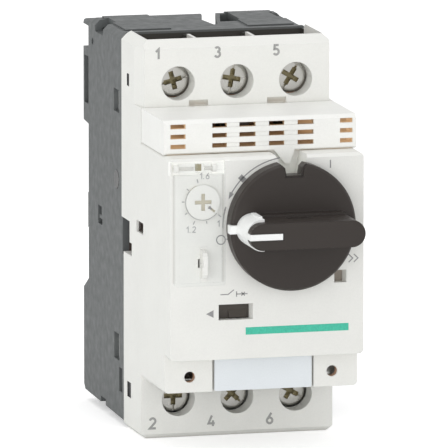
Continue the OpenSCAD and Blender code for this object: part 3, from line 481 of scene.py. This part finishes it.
# Painted shade in the drive recess of each screw: how far it stays in from the head's rim and behind its front
RECESS_RIM = 1.45 * MM
RECESS_FACE = 0.12 * MM
SCREWS = 6
for number_of_screw in range(1, SCREWS + 1):
    screw = f"terminal_screw_{number_of_screw}"
    recess = (*hollow_of(screw, RECESS_RIM, RECESS_FACE), (0.23, 0.20, 0.12), NO_GLOW)
    OWN_LOOK[screw] = surface(f"screw_steel_{number_of_screw}", STEEL, STEEL_EDGE, (0.30, 0.28, 0.22),
                              (0.25, 0.42), metal=1.0, grain=(3.0, 0.010), painted_hollows=[recess])
PRINT_GREY = ink("print_grey", (0.30, 0.30, 0.30))
NUMBER_GREY = ink("number_grey", (0.36, 0.36, 0.35))
DIAL_GREY = ink("dial_grey", (0.42, 0.42, 0.42))
STRIPE_GREEN = ink("stripe_green", (0.06, 0.54, 0.38))

# ---------------------------------------------------------------- dressing the CAD nodes


def dress(name):
    """Gives a CAD node its own look, or else the material of its slot."""
    node = NODES[name]
    node.data.materials.clear()
    node.data.materials.append(OWN_LOOK.get(name) or MATERIALS[SLOT_OF[name]])


for node_name in NODES:
    dress(node_name)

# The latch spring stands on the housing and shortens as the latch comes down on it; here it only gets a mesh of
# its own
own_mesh(NODES["latch_spring"])

# ---------------------------------------------------------------- printed marks

PRINT_THICK = 0.03 * MM
# How much each further coat stands out, as a share of the thickness
COAT_STEP = 0.2
MERGE = 0.0001 * MM
# Least cosine of half a bend that a mitred corner follows
MITRE_LIMIT = 0.4
LINE = 0.25 * MM
FINE_LINE = 0.22 * MM
ARC_STEPS = 24


def surfaces():
    """Search tree of the outer skins that carry print."""
    skin = bmesh.new()
    for name in ("front_cover", "base_housing", "marker_label", "vent_cover", "setting_dial"):
        skin.from_mesh(NODES[name].data)
    tree = BVHTree.FromBMesh(skin)
    skin.free()
    return tree


SKIN = surfaces()
NEAR = CAD_BOX[0].y - 10 * MM


def front_at(x, z):
    """Y of the first surface met from the front at this place."""
    hit = SKIN.ray_cast(Vector((x, NEAR, z)), Vector((0, 1, 0)))
    return hit[0].y


def arc(cx, cz, rx, rz, start, end, steps=ARC_STEPS):
    """Points of an elliptic arc; angles in degrees from +X towards +Z."""
    turns = [math.radians(start + (end - start) * i / steps) for i in range(steps + 1)]
    return [(cx + rx * math.cos(t), cz + rz * math.sin(t)) for t in turns]


def heading(turn):
    """Unit vector at this angle, in degrees from +X towards +Z."""
    return Vector((math.cos(math.radians(turn)), math.sin(math.radians(turn))))


def ribbon(points, width, closed=False):
    """Left and right borders of a line of this width, with mitred corners. A list of widths tapers it."""
    count = len(points)
    widths = width if isinstance(width, list) else [width] * count
    borders = []
    for i, point in enumerate(points):
        here = Vector(point)
        before = Vector(points[i - 1]) if i > 0 or closed else None
        after = Vector(points[(i + 1) % count]) if i < count - 1 or closed else None
        back = (here - before).normalized() if before is not None else (after - here).normalized()
        ahead = (after - here).normalized() if after is not None else back
        along = (back + ahead).normalized()
        side = Vector((-along.y, along.x)) * (widths[i] / 2 / max(MITRE_LIMIT, along.dot(ahead)))
        borders.append((here + side, here - side))
    return borders


def stroke_faces(points, width, closed=False):
    """Four-cornered faces of a line."""
    borders = ribbon(points, width, closed)
    last = len(borders) if closed else len(borders) - 1
    return [
        (left, borders[(i + 1) % len(borders)][0], borders[(i + 1) % len(borders)][1], right)
        for i, (left, right) in enumerate(borders[:last])
    ]


def printed(name, faces, paint, body="root", surface_y=None, coats=None):
    """Thin slabs of ink lying on the front surface. Where strokes cross, each is one more coat of ink."""
    sheet = bmesh.new()
    centre = sum((Vector(corner) for face in faces for corner in face), Vector((0, 0))) / sum(map(len, faces))
    level = front_at(*centre) if surface_y is None else surface_y
    for face, coat in zip(faces, coats or [0] * len(faces)):
        height = level - PRINT_THICK * (1 + COAT_STEP * coat)
        sheet.faces.new([sheet.verts.new((corner[0], height, corner[1])) for corner in face])
    bmesh.ops.remove_doubles(sheet, verts=sheet.verts, dist=MERGE)
    grown = bmesh.ops.extrude_face_region(sheet, geom=list(sheet.faces), use_keep_orig=True)
    moved = [item for item in grown["geom"] if isinstance(item, bmesh.types.BMVert)]
    bmesh.ops.translate(sheet, verts=moved, vec=(0, 2 * PRINT_THICK, 0))
    bmesh.ops.recalc_face_normals(sheet, faces=sheet.faces)
    mesh = bpy.data.meshes.new(name)
    sheet.to_mesh(mesh)
    sheet.free()
    mesh.materials.append(paint)
    piece = bpy.data.objects.new(name, mesh)
    bpy.context.scene.collection.objects.link(piece)
    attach(piece, body)


# Digits as strokes in a box 1 high, foot at 0
DIGITS = {
    "1": [[(0.02, 0.72), (0.30, 0.97), (0.30, 0.0)]],
    "2": [arc(0.30, 0.70, 0.25, 0.26, 165, -35) + [(0.04, 0.04), (0.60, 0.04)]],
    "3": [arc(0.28, 0.73, 0.22, 0.23, 150, -90), arc(0.28, 0.27, 0.26, 0.26, 95, -155)],
    "4": [[(0.36, 0.97), (0.05, 0.26), (0.62, 0.26)], [(0.46, 0.52), (0.46, 0.0)]],
    "5": [[(0.54, 0.95), (0.14, 0.95), (0.10, 0.55)] + arc(0.28, 0.30, 0.26, 0.28, 120, -150)],
    "6": [arc(0.30, 0.28, 0.25, 0.26, 0, 360), [(0.46, 0.97), (0.10, 0.42)]],
    ".": [[(0.02, 0.0), (0.02, 0.12)]],
}
ADVANCE = {"1": 0.60, ".": 0.40}
USUAL_ADVANCE = 0.76


def number(name, text, x, z, height, weight, paint):
    """Digits printed with their lower left corner at x, z."""
    faces = []
    coats = []
    for mark in text:
        for coat, stroke in enumerate(DIGITS[mark]):
            faces += stroke_faces([(x + u * height, z + v * height) for u, v in stroke], weight)
            coats += [coat] * (len(faces) - len(coats))
        x += ADVANCE.get(mark, USUAL_ADVANCE) * height
    printed(name, faces, paint, coats=coats)


def place_of(joint):
    """X and Z of a joint's axis."""
    at = JOINTS[joint]["pos_m"]
    return at[0], at[2]


KNOB_X, KNOB_Z = place_of("knob_turn")
DIAL_X, DIAL_Z = place_of("dial_turn")


POLES = 3
# Lower left corner of a number from its screw's centre, and its height
LINE_NUMBER = (-5.2 * MM, 5.65 * MM, 2.3 * MM)
LOAD_NUMBER = (-6.75 * MM, -6.5 * MM, 2.5 * MM)
NUMBER_WEIGHT = 0.5 * MM


def terminal_numbers():
    """1, 3, 5 over the line screws and 2, 4, 6 under the load screws."""
    for pole in range(POLES):
        top = middle(f"terminal_screw_{pole + 1}")
        foot = middle(f"terminal_screw_{pole + 4}")
        number(f"mark_line_{pole + 1}", str(2 * pole + 1), top.x + LINE_NUMBER[0], top.z + LINE_NUMBER[1],
               LINE_NUMBER[2], NUMBER_WEIGHT, NUMBER_GREY)
        number(f"mark_load_{pole + 1}", str(2 * pole + 2), foot.x + LOAD_NUMBER[0], foot.z + LOAD_NUMBER[1],
               LOAD_NUMBER[2], NUMBER_WEIGHT, NUMBER_GREY)


# Radius of the arc round the knob and half the width of its arrow; angles of the arrow and the diamond
SWEEP = 15.15 * MM
ARROW_HALF = 0.55 * MM
ARROW_HEEL = 150
ARROW_TIP = 156
DIAMOND_TURN = 135
OFF_RING = 1.0 * MM


def on_arc(radius, turn):
    """Point at this angle on a circle round the knob."""
    return arc(KNOB_X, KNOB_Z, radius, radius, turn, turn, 1)[0]


def position_marks():
    """Arc with its arrow and diamond from the tripped place to O, the ring for off and the bar for on."""
    upper = arc(KNOB_X, KNOB_Z, SWEEP, SWEEP, 98, ARROW_HEEL)
    printed("mark_arc_upper", stroke_faces(upper, LINE), PRINT_GREY)
    thin = [LINE * (1.3 - 0.7 * i / ARC_STEPS) for i in range(ARC_STEPS + 1)]
    printed("mark_arc_lower", stroke_faces(arc(KNOB_X, KNOB_Z, SWEEP, SWEEP, 163, 181), thin), PRINT_GREY)
    tip = on_arc(SWEEP, ARROW_TIP)
    heel = on_arc(SWEEP, ARROW_HEEL)
    outer = on_arc(SWEEP + ARROW_HALF, ARROW_HEEL)
    inner = on_arc(SWEEP - ARROW_HALF, ARROW_HEEL)
    printed("mark_arc_arrow", [(tip, outer, heel), (tip, heel, inner)], PRINT_GREY)
    spot = Vector(on_arc(SWEEP, DIAMOND_TURN))
    across = heading(DIAMOND_TURN) * 0.75 * MM
    along = Vector((-across.y, across.x)) * 0.8
    diamond = (spot + across - along, spot + across + along, spot - across + along, spot - across - along)
    printed("mark_diamond", [diamond], PRINT_GREY)
    ring_x, ring_z = KNOB_X - 15.6 * MM, KNOB_Z - 2.9 * MM
    printed("mark_off", stroke_faces(arc(ring_x, ring_z, OFF_RING, OFF_RING, 0, 345), LINE, closed=True),
            PRINT_GREY)
    point = Vector((ring_x + 1.2 * MM, ring_z + 0.1 * MM))
    printed("mark_off_arrow", [(point, point + Vector((0.7, 0.4)) * MM, point + Vector((0.7, -0.4)) * MM)],
            PRINT_GREY)
    bar_x = KNOB_X + 9.57 * MM
    bar = [(bar_x, KNOB_Z + 12.3 * MM), (bar_x, KNOB_Z + 14.1 * MM)]
    printed("mark_on", stroke_faces(bar, LINE * 1.1), PRINT_GREY)


# Angles of the dial's ticks; the numbered ones are longer and start further out
TICKS = (-40, -80, -115, -148, -183, -220, -255)
NUMBERED_TICKS = (-40, -115, -255)
DIAL_AT_REST = -40
DIAL_NUMBER = (1.35 * MM, 0.2 * MM)


def dial_marks():
    """Painted shadow round the dial's rim, ticks and three numbers round the dial, and the arrow on it."""
    reach = middle("setting_dial").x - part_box("setting_dial")[0].x
    rim = reach + 0.12 * MM
    # A thin ring of ink round the left and lower side of the dial's rim is a painted shadow
    printed("mark_dial_shade", stroke_faces(arc(DIAL_X, DIAL_Z, rim, rim, 140, 320), 0.14 * MM), DIAL_GREY)
    faces = []
    for turn in TICKS:
        ray = heading(turn)
        numbered = turn in NUMBERED_TICKS
        start = Vector((DIAL_X, DIAL_Z)) + ray * (reach + (0.65 if numbered else 0.4) * MM)
        stop = Vector((DIAL_X, DIAL_Z)) + ray * (reach + (1.5 if numbered else 1.0) * MM)
        faces += stroke_faces([start, stop], FINE_LINE)
    printed("mark_dial_ticks", faces, DIAL_GREY)
    ray = heading(DIAL_AT_REST)
    side = Vector((-ray.y, ray.x)) * 0.42 * MM
    heart = Vector((DIAL_X, DIAL_Z)) + ray * 1.75 * MM
    tip = heart + ray * 0.9 * MM
    printed("mark_dial_pointer", [(heart + side, tip, heart - side)], PRINT_GREY, "dial",
            surface_y=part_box("setting_dial")[0].y)
    number("mark_dial_low", "1", DIAL_X + 3.4 * MM, DIAL_Z - 5.7 * MM, *DIAL_NUMBER, DIAL_GREY)
    number("mark_dial_mid", "1.2", DIAL_X - 3.7 * MM, DIAL_Z - 6.8 * MM, *DIAL_NUMBER, DIAL_GREY)
    number("mark_dial_high", "1.6", DIAL_X - 0.6 * MM, DIAL_Z + 5.15 * MM, *DIAL_NUMBER, DIAL_GREY)


STRIPE_LEFT, STRIPE_RIGHT = -4.9 * MM, 18.8 * MM
STRIPE_FOOT, STRIPE_TOP = -19.0 * MM, -17.35 * MM


def face_marks():
    """Green stripe, switch symbol, test arrow and the two chevrons by the window."""
    slider = middle("test_slider")
    corners = [(STRIPE_LEFT, STRIPE_FOOT), (STRIPE_RIGHT, STRIPE_FOOT), (STRIPE_RIGHT, STRIPE_TOP),
               (STRIPE_LEFT, STRIPE_TOP)]
    printed("mark_stripe", [corners], STRIPE_GREEN)
    base_z = slider.z + 4.05 * MM
    lever = [(-10.7 * MM, base_z), (-8.95 * MM, base_z), (-7.6 * MM, base_z + 1.0 * MM)]
    blade = stroke_faces(lever, FINE_LINE)
    stop = stroke_faces([(-7.0 * MM, base_z - 0.6 * MM), (-7.0 * MM, base_z + 0.6 * MM)], FINE_LINE)
    feed = stroke_faces([(-7.0 * MM, base_z), (-4.5 * MM, base_z)], FINE_LINE)
    cross = stroke_faces([(-5.9 * MM, base_z - 0.4 * MM), (-5.1 * MM, base_z + 0.4 * MM)], FINE_LINE)
    cross += stroke_faces([(-5.9 * MM, base_z + 0.4 * MM), (-5.1 * MM, base_z - 0.4 * MM)], FINE_LINE)
    for label, part in (("blade", blade), ("stop", stop), ("feed", feed), ("cross", cross)):
        printed(f"mark_switch_{label}", part, PRINT_GREY)
    tip = Vector((-14.0 * MM, slider.z - 0.2 * MM))
    printed("mark_test_arrow", [(tip, tip + Vector((1.7, -0.85)) * MM, tip + Vector((1.7, 0.85)) * MM)],
            PRINT_GREY)
    for step, x in enumerate((18.8 * MM, 20.0 * MM)):
        nib = [(x, KNOB_Z - 7.35 * MM), (x + 0.95 * MM, KNOB_Z - 8.25 * MM), (x, KNOB_Z - 9.15 * MM)]
        printed(f"mark_chevron_{step + 1}", stroke_faces(nib, 0.24 * MM), PRINT_GREY)


terminal_numbers()
position_marks()
dial_marks()
face_marks()

# ---------------------------------------------------------------- studio

CAMERA_PITCH = math.radians(9.28)
CAMERA_YAW = math.radians(-14.64)
CAMERA_DISTANCE = 2.577
CAMERA_LENS_MM = 904.0
SENSOR_MM = 36.0
VIEW_RIGHT = 0.01078
VIEW_UP = -0.00782
# Height of the point the fitted camera looks at
AIM_Z = 0.00094
CENTRE = (CAD_BOX[0] + CAD_BOX[1]) / 2
WORLD_FILL = 0.95
FLOOR_HALF = 6.0
FLOOR_GAP = 0.05 * MM
WHITE_LIGHT = (1.0, 1.0, 1.0)
# Name, place from the object's centre, size in metres, power in watts, colour
LIGHTS = (
    ("key", (-0.45, -0.42, 0.10), 0.35, 0.5, WHITE_LIGHT),
    ("top", (-0.10, 0.05, 1.30), 0.6, 2.3, WHITE_LIGHT),
    ("fill", (0.9, -0.8, 0.1), 0.8, 0.4, WHITE_LIGHT),
    ("side", (-1.2, -0.1, 0.15), 0.6, 0.9, (0.90, 1.0, 0.94)),
    ("low_front", (-0.3, -1.1, 0.02), 0.5, 2.35, WHITE_LIGHT),
)


def camera_axes():
    """Right, up and forward of the photograph's view."""
    turn = Matrix.Rotation(CAMERA_YAW, 3, "Z") @ Matrix.Rotation(-CAMERA_PITCH, 3, "X")
    return turn @ Vector((1, 0, 0)), turn @ Vector((0, 0, 1)), turn @ Vector((0, 1, 0))


def set_camera():
    """Long lens from the front, left and slightly above; the object fills the frame as photographed."""
    right, up, forward = camera_axes()
    aim = Vector((0.0, CAD_BOX[1].y, AIM_Z)) + right * VIEW_RIGHT + up * VIEW_UP
    eye = aim - forward * CAMERA_DISTANCE
    data = bpy.data.cameras.new("camera")
    data.lens = CAMERA_LENS_MM
    data.sensor_width = SENSOR_MM
    camera = bpy.data.objects.new("camera", data)
    bpy.context.scene.collection.objects.link(camera)
    camera.matrix_world = Matrix.Translation(eye) @ Matrix((right, up, -forward)).transposed().to_4x4()
    bpy.context.scene.camera = camera


def add_light(name, place, aim, size, power, colour):
    """Soft square lamp aimed at a point."""
    data = bpy.data.lights.new(name, "AREA")
    data.shape = "SQUARE"
    data.size = size
    data.energy = power
    data.color = colour
    lamp = bpy.data.objects.new(name, data)
    lamp.location = place
    lamp.rotation_euler = (aim - place).to_track_quat("-Z", "Y").to_euler()
    bpy.context.scene.collection.objects.link(lamp)


def set_world(fill):
    """White surroundings: plain white to the eye, a softer fill for the light."""
    world = bpy.data.worlds.new("studio")
    world.use_nodes = True
    tree = world.node_tree
    tree.nodes.clear()
    seen = tree.nodes.new("ShaderNodeLightPath")
    shade = tree.nodes.new("ShaderNodeBackground")
    output = tree.nodes.new("ShaderNodeOutputWorld")
    power = remapped(tree, seen.outputs["Is Camera Ray"], 0.0, 1.0, fill, 1.0)
    tree.links.new(power, shade.inputs["Strength"])
    tree.links.new(shade.outputs["Background"], output.inputs["Surface"])
    bpy.context.scene.world = world


def set_floor(height, half):
    """Pale floor just under the foot."""
    sheet = bmesh.new()
    corners = [sheet.verts.new((x * half, y * half, height)) for x, y in ((-1, -1), (1, -1), (1, 1), (-1, 1))]
    sheet.faces.new(corners)
    mesh = bpy.data.meshes.new("floor")
    sheet.to_mesh(mesh)
    mesh.materials.append(studio_white("floor"))
    floor = bpy.data.objects.new("floor", mesh)
    bpy.context.scene.collection.objects.link(floor)


set_camera()
set_world(WORLD_FILL)
set_floor(CAD_BOX[0].z - FLOOR_GAP, FLOOR_HALF)
for light, offset, width, watts, tone in LIGHTS:
    add_light(light, CENTRE + Vector(offset), CENTRE, width, watts, tone)
bpy.context.scene.view_settings.view_transform = "Standard"
